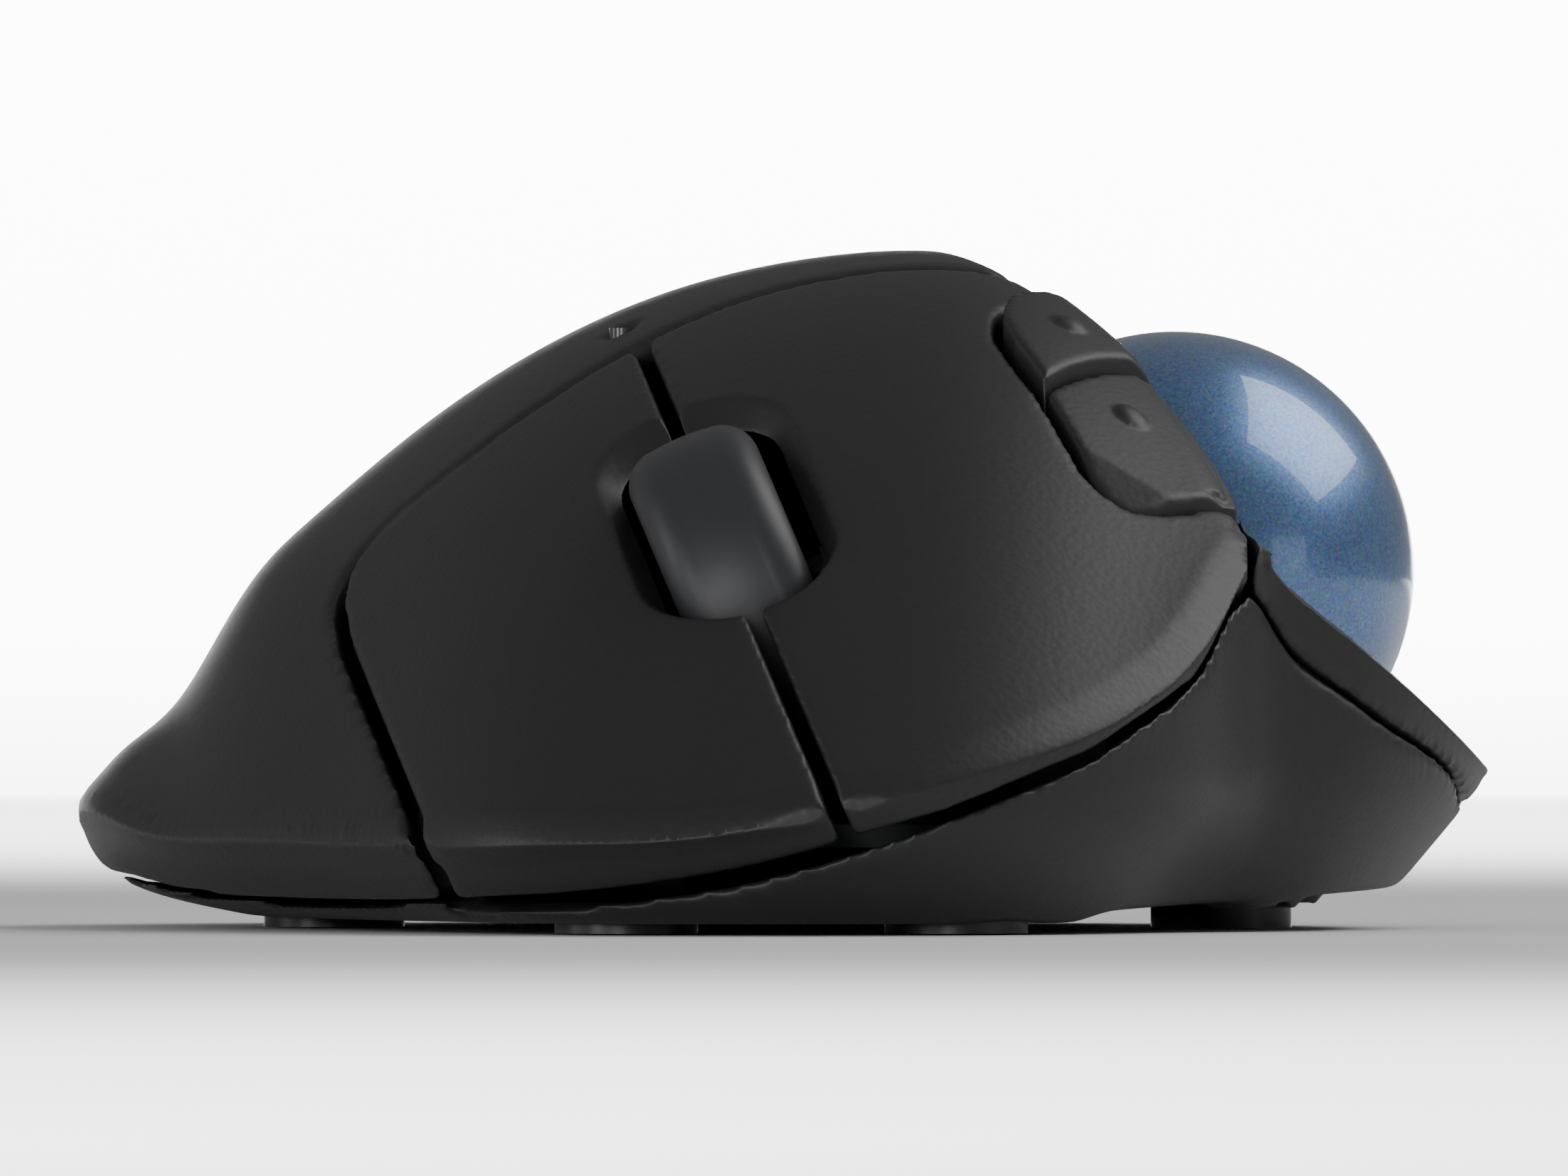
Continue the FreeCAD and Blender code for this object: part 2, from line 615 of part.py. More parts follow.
# ball, cup and its three support balls
solid_object("Sphere", "trackball", at(BALL.x, BALL.y, BALL.z), {"Radius": "dims.ballradius"})
cup = Part.makeSphere(CUP_OUT, BALL).cut(Part.makeSphere(BALL_R + size("cupgap"), BALL))
cup = cup.common(block(60, 60, 60, socket.multiply(at(0, 0, CUP_TOP - 60))))
LEGS = [(18, -9), (33.5, -8.5), (18, 13), (33.5, 12.5)]
for x, y in LEGS:
    foot_level = UNDER + max(FLOOR, lift_at(x + 2) + 1.1 if x > 21 else 0)
    leg = rod(1.8, 20, at(x, y, foot_level)).cut(Part.makeSphere(BALL_R + size("cupgap") + 0.6, BALL))
    cup = cup.fuse(leg.common(block(60, 60, 60, socket.multiply(at(0, 0, CUP_TOP - 60)))))
cup = cup.cut(rod(3.0, 20, at(SENSOR.x, SENSOR.y, 2)))
cup = cup.cut(rod(4.0, 20, at(EJECT.x, EJECT.y, 2)))
BEARINGS = []
reach = BALL_R + size("bearingradius") + 0.02
for turn in (90, 210, 330):
    out, down = math.cos(math.radians(36)), math.sin(math.radians(36))
    way = V(out * math.cos(math.radians(turn)), out * math.sin(math.radians(turn)), -down)
    spot = BALL + TILT.multVec(way) * reach
    BEARINGS.append(spot)
    cup = cup.fuse(Part.makeSphere(2.3, spot).cut(Part.makeSphere(BALL_R + size("cupgap"), BALL)))
for spot in BEARINGS:
    pocket = Part.makeCylinder(size("bearingradius") + 0.05, 6, spot + (spot - BALL).normalize() * 1.27, BALL - spot)
    cup = cup.cut(pocket)
node("ball_cup", cup)
beads = [solid_object("Sphere", "bead_%d" % i, at(b.x, b.y, b.z), {"Radius": "dims.bearingradius"}, False)
         for i, b in enumerate(BEARINGS, 1)]
combined("MultiFuse", "support_balls", beads[0], beads[1:])

# optical sensor under the cup
solid_object("Box", "sensor_board", at(SENSOR.x - 7, SENSOR.y - 7, 3.7),
             {"Length": 14.0, "Width": 14.0, "Height": 0.8})
solid_object("Box", "sensor_chip", at(SENSOR.x - 4.5, SENSOR.y - 4.5, 4.5), {"Length": 9.0, "Width": 9.0, "Height": 0.8})
solid_object("Cylinder", "sensor_lens", at(SENSOR.x, SENSOR.y, 5.3), {"Radius": 2.8, "Height": 1.4})

# main board with its switches
board = post([(-23, -45), (-17, -52), (13, -53), (21, -48), (24, -40), (24, -26), (-2, -26), (-2, -31), (-23, -31)], 0, size("boardthick"))
node("main_board", board, at(0, 0, size("boardheight")))


def switch_body(name, spot):
    """A snap-action switch: a block with its little plunger on top."""
    shape = Part.makeBox(5.8, 12.8, SWITCH_TALL - 0.7, V(-2.9, -6.4, 0))
    shape = shape.fuse(Part.makeBox(1.4, 2.6, 0.8, V(-0.7, -1.3, SWITCH_TALL - 0.8)))
    return node(name, shape, at(spot.x, spot.y, spot.z))


switch_body("primary_switch", PRIMARY_SWITCH)
switch_body("secondary_switch", SECONDARY_SWITCH)
TOE = V(9.6, -46.5, BOARD_TOP + 4.3 + 0.8)
wheel_switch = Part.makeBox(6, 6, 3.5, V(-3, -3, 0)).fuse(Part.makeCylinder(1.7, 4.3))
node("wheel_switch", wheel_switch, at(TOE.x, TOE.y, BOARD_TOP))

# side board and its two tact switches
flex = block(3.0, 8.0, 0.9, side_frame.multiply(at(0, 0, -1.0)))
for frame in (forward_frame, back_frame):
    flex = flex.fuse(block(5.6, 6.4, 1.0, frame.multiply(at(0, 0, -1.0))))
node("side_board", flex)
tact = Part.makeBox(4.2, 4.2, TACT - 0.5, V(-2.1, -2.1, 0)).fuse(Part.makeCylinder(1.2, TACT))
node("forward_switch", tact, forward_frame)
node("back_switch", tact.copy(), back_frame)

# wheel: tyre turned from a crowned profile, hub, axle
across = FreeCAD.Placement(V(0, 0, 0), FreeCAD.Rotation(V(0, 1, 0), 90))
half = size("wheelwidth") / 2
tyre_body = doc.addObject("PartDesign::Body", "wheel_tyre")
tyre_body.Label = "wheel_tyre"
section = tyre_body.newObject("Sketcher::SketchObject", "tyre_section")
plane = [f for f in tyre_body.Origin.OriginFeatures if f.Role == "XZ_Plane"][0]
section.AttachmentSupport = (plane, "")
section.MapMode = "FlatFace"
R = size("wheelradius")
r0 = size("hubradius")
edge = R - 2.85
bow = 1.91
rings = [V(r0, -half, 0), V(edge, -half, 0), V(edge + bow, -half + 0.79, 0), V(R - 0.15, -half + 2.7, 0), V(R, 0, 0),
         V(R - 0.15, half - 2.7, 0), V(edge + bow, half - 0.79, 0), V(edge, half, 0), V(r0, half, 0)]
section.addGeometry(Part.LineSegment(rings[0], rings[1]), False)
section.addGeometry(Part.Arc(rings[1], rings[2], rings[3]), False)
section.addGeometry(Part.Arc(rings[3], rings[4], rings[5]), False)
section.addGeometry(Part.Arc(rings[5], rings[6], rings[7]), False)
section.addGeometry(Part.LineSegment(rings[7], rings[8]), False)
section.addGeometry(Part.LineSegment(rings[8], rings[0]), False)
turned = tyre_body.newObject("PartDesign::Revolution", "tyre_turn")
turned.Profile = section
turned.ReferenceAxis = (section, ["V_Axis"])
turned.Angle = 360.0
tyre_body.Placement = wheel_deck.multiply(across)
nodes.append(tyre_body)


def barrel(name, radius, length, keep=True, shift=0.0):
    frame = wheel_deck.multiply(FreeCAD.Placement(V(-length / 2 + shift, 0, 0), across.Rotation))
    return solid_object("Cylinder", name, frame, {"Radius": radius, "Height": length}, keep)


hub_blank = barrel("hub_blank", "dims.hubradius", size("wheelwidth") - 1.0, False)
hub_bore = barrel("hub_bore", "dims.axleradius", size("wheelwidth") + 4, False)
combined("Cut", "wheel_hub", hub_blank, hub_bore)
AXLE_SHIFT = 2.6
axle = barrel("wheel_axle", "dims.axleradius", size("axlelength"), True, AXLE_SHIFT)
axle.setExpression("Height", "dims.axlelength")

# carriage: two cheeks, a bridge behind the wheel, the pivot pin and the toe over the wheel switch
cheek_outline = [(-10.5, -10.5), (15, -10.5), (17.4, -8), (15, -5), (6, 1.6), (-4.5, 1.6), (-10.5, -5)]


def cheek(p):
    points = [V(p, y, q) for y, q in cheek_outline] + [V(p, cheek_outline[0][0], cheek_outline[0][1])]
    return Part.Face(Part.makePolygon(points)).extrude(V(1.4, 0, 0))


carriage = fused(cheek(-7.4), [cheek(6.0), Part.makeBox(14.8, 2.0, 3.0, V(-7.4, 14.2, -10.5))])
carriage = carriage.fuse(Part.makeCylinder(size("axleradius"), 18.2, V(-9.1, PIVOT.y, PIVOT.z), V(1, 0, 0)))
carriage = carriage.cut(Part.makeCylinder(size("axleradius") + 0.05, 30, V(-15, 0, 0), V(1, 0, 0)))
toe_top = wheel_deck.inverse().multVec(V(TOE.x, TOE.y, TOE.z))
toe = Part.makeBox(3.2, 2.6, 6.0, V(TOE.x - 1.6, TOE.y - 1.3, TOE.z))
toe.Placement = wheel_deck.inverse()
carriage = carriage.fuse(toe)
node("wheel_carriage", carriage, wheel_deck)
encoder = Part.makeBox(4.6, 10, 9.5, V(7.5, -5, -9.0)).cut(
    Part.makeCylinder(size("axleradius") + 0.05, 30, V(-15, 0, 0), V(1, 0, 0)))
node("wheel_encoder", encoder, wheel_deck)

# AA cell, its two contacts, the receiver and the door
can = solid_object("Cylinder", "cell_can", FreeCAD.Placement(CELL, FreeCAD.Rotation(V(1, 0, 0), -90)),
                   {"Radius": "dims.celldiameter / 2", "Height": "dims.celllength"}, False)
nub = solid_object("Cylinder", "cell_nub", FreeCAD.Placement(V(CELL.x, CELL.y + size("celllength") - 1, CELL.z),
                   FreeCAD.Rotation(V(1, 0, 0), -90)), {"Radius": 2.7, "Height": 2.2}, False)
combined("MultiFuse", "battery", can, [nub])
CELL_END = CELL.y + size("celllength") + 1.2
solid_object("Box", "battery_contact", at(CELL.x - 4, CELL_END, CELL.z - 4),
             {"Length": 8.0, "Width": 27.2 + 0.3 - CELL_END, "Height": 8.0})
turns = Part.makeHelix(0.95, 2.35, 3.4)
wire = Part.Wire(turns.Edges).makePipeShell([Part.Wire([Part.makeCircle(0.3, V(3.4, 0, 0), V(0, 1, 0))])], True, True)
coil = wire.fuse(Part.makeCylinder(4.6, 0.4, V(0, 0, -0.55)))
node("battery_spring", coil, FreeCAD.Placement(V(CELL.x, BAY[2] + 0.3 + 0.56, CELL.z), FreeCAD.Rotation(V(1, 0, 0), -90)))
plug = solid_object("Box", "plug_shell", at(CELL.x - 6, 28.7, 3.3), {"Length": 12.0, "Width": 12.2, "Height": 4.5}, False)
cap = solid_object("Box", "plug_cap", at(CELL.x - 7.2, 40.7, 2.5), {"Length": 14.4, "Width": 6.6, "Height": 6.1}, False)
combined("MultiFuse", "receiver", plug, [cap])
solid_object("Box", "battery_door", at(BAY[0] + 0.15, BAY[2] + 0.15, UNDER),
             {"Length": BAY[1] - BAY[0] - 0.3, "Width": BAY[3] - BAY[2] - 0.3, "Height": 1.45})

# underside controls
slider_knob = solid_object("Box", "slider_knob", at(SLOT.x + 0.3, SLOT.y + 0.3, UNDER), {"Length": 5.0, "Width": 3.4, "Height": 2.0}, False)
slider_plate = solid_object("Box", "slider_plate", at(SLOT.x - 0.7, SLOT.y - 1, UNDER + FLOOR + 0.1),
                            {"Length": 7.0, "Width": 6.0, "Height": 1.2}, False)
combined("MultiFuse", "power_slider", slider_knob, [slider_plate])
pair_cap = solid_object("Cylinder", "pair_cap", at(PAIR.x, PAIR.y, UNDER), {"Radius": 2.1, "Height": 2.6}, False)
pair_rim = solid_object("Cylinder", "pair_rim", at(PAIR.x, PAIR.y, UNDER + FLOOR + 0.05), {"Radius": 3.0, "Height": 0.9}, False)
combined("MultiFuse", "pairing_button", pair_cap, [pair_rim])
solid_object("Cylinder", "light_pipe", at(LIGHT[0], LIGHT[1], hump(LIGHT[0], LIGHT[1]) - 5.0), {"Radius": 0.95, "Height": 4.9})

# screws and feet
for i, (x, y) in enumerate(SCREWS, 1):
    low = UNDER + 0.15 + lift_at(x)
    shank = solid_object("Cylinder", "shank_%d" % i, at(x, y, low + 1.15), {"Radius": "dims.screwradius", "Height": 9.0}, False)
    head = solid_object("Cylinder", "head_%d" % i, at(x, y, low), {"Radius": "dims.screwhead", "Height": 1.15}, False)
    combined("MultiFuse", "case_screw_%d" % i, head, [shank])
for i, (x, y) in enumerate(FEET, 1):
    solid_object("Cylinder", "foot_%d" % i, at(x, y, 0),
                 {"Radius": "dims.footradius", "Height": "dims.footthick + %.3f" % lift_at(x)})

doc.recompute()
for item in doc.Objects:
    if "Invalid" in item.State or "Error" in item.State:
        raise RuntimeError(item.Name + " did not recompute")
for item in nodes:
    if item.Shape.isNull() or not item.Shape.isValid():
        raise RuntimeError(item.Label + " has no sound shape")
    item.Shape.exportStep("parts/%s.step" % item.Label)
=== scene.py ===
import json
import math

import bpy
import numpy as np
from mathutils import Matrix, Vector
from mathutils.bvhtree import BVHTree

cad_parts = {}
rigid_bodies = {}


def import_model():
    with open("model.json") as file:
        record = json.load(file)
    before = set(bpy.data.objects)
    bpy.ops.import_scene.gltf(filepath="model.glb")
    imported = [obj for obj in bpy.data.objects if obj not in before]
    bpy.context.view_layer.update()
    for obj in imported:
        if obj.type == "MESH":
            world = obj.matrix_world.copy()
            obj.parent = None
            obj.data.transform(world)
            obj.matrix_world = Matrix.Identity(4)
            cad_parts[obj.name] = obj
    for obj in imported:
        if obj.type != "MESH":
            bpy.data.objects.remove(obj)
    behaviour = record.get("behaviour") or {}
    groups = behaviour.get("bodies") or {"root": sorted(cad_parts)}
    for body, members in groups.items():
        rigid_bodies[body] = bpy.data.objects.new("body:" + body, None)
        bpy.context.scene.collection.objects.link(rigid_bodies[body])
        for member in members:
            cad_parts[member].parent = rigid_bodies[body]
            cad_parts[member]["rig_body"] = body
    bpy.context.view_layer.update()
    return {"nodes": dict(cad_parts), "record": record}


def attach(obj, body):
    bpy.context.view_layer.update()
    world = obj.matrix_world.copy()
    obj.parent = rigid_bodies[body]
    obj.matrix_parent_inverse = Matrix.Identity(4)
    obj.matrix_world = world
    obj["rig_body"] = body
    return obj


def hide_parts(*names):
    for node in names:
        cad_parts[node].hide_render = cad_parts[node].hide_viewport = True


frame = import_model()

MM = 0.001
scene = bpy.context.scene
nodes = frame["nodes"]


# ---------------------------------------------------------------- the form of the shell, in millimetres

def spline(rows):
    """A natural cubic curve through rows of (position, value, ...); works on whole arrays."""
    table = np.array(rows, float)
    x, values = table[:, 0], table[:, 1:]
    n, h = len(x), np.diff(x)
    a, b = np.zeros((n, n)), np.zeros_like(values)
    a[0, 0] = a[-1, -1] = 1
    for i in range(1, n - 1):
        a[i, i - 1:i + 2] = h[i - 1], 2 * (h[i - 1] + h[i]), h[i]
        b[i] = 6 * ((values[i + 1] - values[i]) / h[i] - (values[i] - values[i - 1]) / h[i - 1])
    bend = np.linalg.solve(a, b)

    def at(p):
        p = np.clip(p, x[0], x[-1])
        i = np.clip(np.searchsorted(x, p) - 1, 0, n - 2)
        left, right = (x[i + 1] - p)[..., None], (p - x[i])[..., None]
        step = h[i][..., None]
        out = (bend[i] * left ** 3 + bend[i + 1] * right ** 3) / (6 * step)
        out += (values[i] / step - bend[i] * step / 6) * left
        out += (values[i + 1] / step - bend[i + 1] * step / 6) * right
        return [out[..., k] for k in range(values.shape[1])]
    return at


crest = spline([
    (-60, 2.5, 13), (-50, 9.3, 13), (-46.6, 13.2, 12.6), (-43.6, 15.3, 12), (-40.5, 20.4, 11.2),
    (-37.5, 25.3, 10.4), (-34.5, 28.3, 9.7), (-28, 33.9, 8.5), (-18, 40.8, 6.5), (-8, 45.3, 5),
    (2, 47.6, 4), (9, 48.15, 2.5), (13.5, 47.8, 1.2), (20, 45.4, -2), (29, 39.6, -7), (38, 33, -9), (60, 28, -9)])
nose = spline([
    (-60, 6, 2.5), (-50, -8, 6.3), (-44, -20, 5.5), (-38, -32, 4.8), (-30, -47, 4.6),
    (-22, -60, 5.2), (-10, -66.3, 7.0), (0, -67.3, 9.3), (10, -65.5, 12.3), (20, -58.5, 16.3),
    (28, -48.5, 21.2), (36, -44, 23), (60, -40, 22)])
tail = spline([
    (-60, 20, 2), (-50, 34, 6.3), (-44, 44, 5.2), (-34, 56, 5), (-22, 64, 5), (-8, 67.5, 5),
    (6, 67.8, 5), (18, 64.5, 5), (30, 57, 5), (42, 46, 5), (60, 30, 6)])
rim = spline([
    (-75, 34, 3), (-50, 32.6, 3), (-36, 31.9, 3), (-31, 31.1, 3.5), (-25, 28.6, 5), (-20, 25.4, 7),
    (-14, 20.5, 9), (-8, 16.2, 10), (-2, 13.6, 11), (5, 12.7, 12), (12, 13.2, 12), (20, 15.8, 13),
    (28, 20.5, 14), (35, 27.5, 14), (42, 35, 14), (50, 44, 14), (75, 70, 14)])
PLAN = np.array([
    (-6, 67.4, 9, 3), (-21, 64.2, 9, 3), (-35, 54.8, 10, 3), (-45, 41, 11, 3), (-49.6, 26, 12, 3),
    (-50.3, 11, 13, 3), (-48.4, -4, 13, 3), (-43.3, -19, 12, 3), (-36.3, -33, 10, 3),
    (-29.3, -46.5, 8, 3), (-22, -59, 6, 3), (-11, -66, 6, 3.5), (3, -67.9, 7, 4.5), (14, -64.6, 7.5, 5),
    (23.4, -57, 7.5, 5), (29.4, -47, 7.5, 5), (31.6, -38.5, 7, 5), (34, -32.5, 6, 4.5),
    (41, -28.6, 7, 5.5), (47.6, -17, 9, 6.6), (50.6, 0, 11, 6.6), (49.6, 16, 11, 6.6),
    (45, 32, 12, 6), (36.4, 46, 11, 5), (24.3, 57.9, 10, 4), (9, 65.6, 9, 3)], float)
BALL = np.array([27.7, 2.0, 25.3])


def smoothstep(u):
    u = np.clip(u, 0, 1)
    return u * u * (3 - 2 * u)


def hump(x, y):
    top, ridge = crest(x)
    front, front_z = nose(x)
    back, back_z = tail(x)
    b = np.where(x > -30, 1.2, np.maximum(0.45, 1.2 + (x + 30) * 0.05))
    norm = np.sqrt(1 + b * b) - 1
    span = ridge - front
    s = (ridge - y) / span
    before = top - (top - front_z) * (np.sqrt(1 + b * b * s * s) - 1) / norm
    k = (top - front_z) * b * b / (2 * norm * span * span)
    reach = back - ridge
    k = np.minimum(k, (top - back_z) / reach ** 2)
    c = np.maximum(0.0, (top - back_z - k * reach ** 2) / reach ** 4)
    after = top - k * (y - ridge) ** 2 - c * (y - ridge) ** 4
    return np.where(y <= ridge, before, after)


def wing(x, y):
    d = y - BALL[1]
    return BALL[2] + 0.75 - (x - BALL[0]) * 0.649 + np.where(d < 0, 0.00275, -0.0075) * d * d


def scoop(x, y):
    edge, width = rim(y)
    slope = rim(y + 0.5)[0] - rim(y - 0.5)[0]
    u = (x - edge) / np.sqrt(1 + slope * slope) / width
    rise = np.maximum(0.8, hump(edge, y) - wing(edge, y))
    return wing(x, y) + np.where(u < 1, rise * (1 - u) ** 2, 0)


def weights(count, samples, closed):
    """How much each of a row of control points counts at evenly spaced places along a cubic curve."""
    if closed:
        knots = np.arange(-3, count + 4, dtype=float)
        places = np.linspace(0, count, samples, endpoint=False)
        wide = count + 3
    else:
        knots = np.concatenate([[0] * 3, np.arange(count - 2), [count - 3] * 3]).astype(float)
        places = np.linspace(0, count - 3 - 1e-9, samples)
        wide = count
    table = np.zeros((samples, len(knots) - 1))
    for i in range(len(knots) - 1):
        table[:, i] = (places >= knots[i]) & (places < knots[i + 1])
    for degree in (1, 2, 3):
        new = np.zeros((samples, table.shape[1] - 1))
        for i in range(new.shape[1]):
            low, high = knots[i + degree] - knots[i], knots[i + degree + 1] - knots[i + 1]
            if low > 0:
                new[:, i] += (places - knots[i]) / low * table[:, i]
            if high > 0:
                new[:, i] += (knots[i + degree + 1] - places) / high * table[:, i + 1]
        table = new
    if closed:
        folded = table[:, :count].copy()
        for i in range(count, wide):
            folded[:, i - count] += table[:, i]
        return folded
    return table[:, :count]


def dense(net, nu, nv, closed=False):
    rows = weights(net.shape[0], nu, closed)
    columns = weights(net.shape[1], nv, False)
    return np.einsum("ia,jb,abk->ijk", rows, columns, net)


def searcher(grid, closed=False, flip=False):
    """A nearest-place search over a dense grid, whose faces look into the body."""
    nu, nv = grid.shape[:2]
    faces = []
    for i in range(nu if closed else nu - 1):
        for j in range(nv - 1):
            a, b = i * nv + j, ((i + 1) % nu) * nv + j
            quad = (a, b, b + 1, a + 1)
            faces.append(quad[::-1] if flip else quad)
    return BVHTree.FromPolygons([tuple(p) for p in grid.reshape(-1, 3)], faces)


def hump_net():
    across = np.concatenate([np.linspace(-57, -33, 13), np.linspace(-30, 57, 27)])
    xs, ys = np.meshgrid(across, np.linspace(-76, 76, 36), indexing="ij")
    return np.stack([xs, ys, hump(xs, ys)], -1)


def scoop_net():
    us = np.array([0, 0.03, 0.06, 0.1, 0.14, 0.18, 0.23, 0.28, 0.34, 0.4, 0.5, 0.6, 0.7, 0.8, 0.9, 1.0])
    y = np.linspace(-75, 75, 41)
    start = rim(y)[0] - 5 - 0.3 * np.maximum(0.0, y - 10)
    xs = start[None, :] + us[:, None] * (64 - start)[None, :]
    ys = np.repeat(y[None, :], len(us), 0)
    return np.stack([xs, ys, scoop(xs, ys)], -1)


def wall_net():
    before, after = np.roll(PLAN, 1, 0), np.roll(PLAN, -1, 0)
    way = after[:, :2] - before[:, :2]
    way /= np.linalg.norm(way, axis=1)[:, None]
    thumb, palm = smoothstep((PLAN[:, 0] - 31) / 8), smoothstep((-PLAN[:, 0] - 38) / 8)
    widest = 9.6 + 1.6 * thumb
    rows = []
    for z in (0.7, 1.375, 2.185, 3.4, 4.8, 6.6, 8.6, 10.6, 14, 30, 60):
        if z <= 3.2:
            tuck = PLAN[:, 3] + (PLAN[:, 2] - PLAN[:, 3]) * ((3.2 - z) / 2.5) ** 1.5
        else:
            share = np.maximum(0, widest - z) / (widest - 3.2)
            tuck = PLAN[:, 3] * share ** (1.35 + 1.85 * palm - 0.3 * thumb)
        rows.append(np.stack([1.005 * PLAN[:, 0] - way[:, 1] * tuck, 1.01 * PLAN[:, 1] + way[:, 0] * tuck,
                              np.full(len(PLAN), z)], -1))
    return np.stack(rows, 1)


hump_near = searcher(dense(hump_net(), 260, 330), flip=True)
scoop_near = searcher(dense(scoop_net(), 200, 330), flip=True)
wall_near = searcher(dense(wall_net(), 720, 120, closed=True), closed=True)


# ---------------------------------------------------------------- moulded edges

def signed(tree, points, reach):
    """Distance into the body from a surface, and the way in, for every point within reach."""
    depth = np.full(len(points), 99.0)
    way = np.zeros((len(points), 3))
    for i, p in enumerate(points):
        place, normal, _, gap = tree.find_nearest(p, reach)
        if place is not None:
            off = Vector(p) - place
            depth[i] = off.dot(normal)
            way[i] = normal
            if gap > 0.4 and abs(depth[i]) < 0.7 * gap:
                depth[i] = 99.0
    return depth, way


def lip_radius(x, y):
    """The front lip is rolled generously; the edge tightens to the sides and back."""
    return 2.2 + 1.1 * smoothstep((-30 - y) / 20) * smoothstep((x + 30) / 12)


def wing_radius(x, y):
    return np.full(len(x), 1.3)


def rim_radius(x, y):
    return 1.6 + 2.0 * smoothstep((y + 8) / 20)


def neighbours(mesh):
    count = len(mesh.vertices)
    edges = np.zeros(len(mesh.edges) * 2, np.int32)
    mesh.edges.foreach_get("vertices", edges)
    edges = edges.reshape(-1, 2)
    degree = np.bincount(edges.ravel(), minlength=count).astype(float)
    return edges, degree


def averaged(values, edges, degree):
    total = np.zeros_like(values)
    for k in range(values.shape[1]):
        total[:, k] = np.bincount(edges[:, 0], values[edges[:, 1], k], len(values))
        total[:, k] += np.bincount(edges[:, 1], values[edges[:, 0], k], len(values))
    return total / np.maximum(degree, 1)[:, None]


def remeshed(node, voxel):
    """The node's solid rebuilt as an even mesh, in millimetres."""
    source = nodes[node].data.copy()
    source.transform(Matrix.Scale(1 / MM, 4))
    holder = bpy.data.objects.new("holder", source)
    scene.collection.objects.link(holder)
    tool = holder.modifiers.new("even", "REMESH")
    tool.mode = "VOXEL"
    tool.voxel_size = voxel
    tool.adaptivity = 0.0
    bpy.context.view_layer.update()
    made = bpy.data.meshes.new_from_object(holder.evaluated_get(bpy.context.evaluated_depsgraph_get()))
    bpy.data.objects.remove(holder)
    bpy.data.meshes.remove(source)
    return made


LEAN, SLOPE = math.radians(23), math.radians(36)
WHEEL = Vector((-2.472, -36.0, 23.1))
SLOPED = np.array(Matrix.Rotation(-LEAN, 3, "Y") @ Matrix.Rotation(SLOPE, 3, "X"))


def boxed(u, v, left, right, low, high, r):
    """Distance inside a rectangle with rounded corners."""
    x = np.abs(u - (left + right) / 2) - (right - left) / 2 + r
    y = np.abs(v - (low + high) / 2) - (high - low) / 2 + r
    return r - np.hypot(np.maximum(x, 0), np.maximum(y, 0)) - np.minimum(np.maximum(x, y), 0)


def well_chamfer(points, depth, way):
    """The edge of the wheel well slopes in, broadly at its upper end."""
    local = (points - np.array(WHEEL)) @ SLOPED
    outside = boxed(local[:, 0], local[:, 1], -6.8, 7.6, -11.4, 16.3, 6.4)
    inside = boxed(local[:, 0], local[:, 1], -5.5, 6.3, -11.2, 13.6, 5.0)
    share = np.clip(outside / np.maximum(outside - inside, 0.05), 0, 1)
    want = 1.5 * share
    use = (outside > 0) & (depth > -1) & (depth < want) & (local[:, 2] > 0)
    move = np.zeros_like(points)
    move[use] = (want - depth)[use][:, None] * way[use]
    return move


def dome(points, x, y, radius, tall):
    away = np.hypot(points[:, 0] - x, points[:, 1] - y) / radius
    return tall * np.sqrt(np.maximum(0, 1 - away * away))


def forward_detail(points, depth, way):
    """The front key sits lower than the back one, slopes off at its front end and has a dot."""
    top = (depth > -0.5) & (depth < 1.6)
    edge = np.clip((points[:, 1] + 38.6 + 0.25 * (points[:, 0] - 24)) / 3.0, 0, 1)
    drop = 0.75 + 1.0 * (1 - edge) - dome(points, 24.4, -28.9, 1.15, 0.45)
    move = np.zeros_like(points)
    fade = np.clip((1.6 - depth) / 0.8, 0, 1)
    move[top, 2] = -(drop * fade)[top] / np.maximum(np.abs(way[top, 2]), 0.5)
    return move


def back_detail(points, depth, way):
    top = (depth > -0.5) & (depth < 0.6)
    move = np.zeros_like(points)
    move[top] = -dome(points, 20.1, -20.6, 1.15, 0.4)[top][:, None] * way[top]
    return move


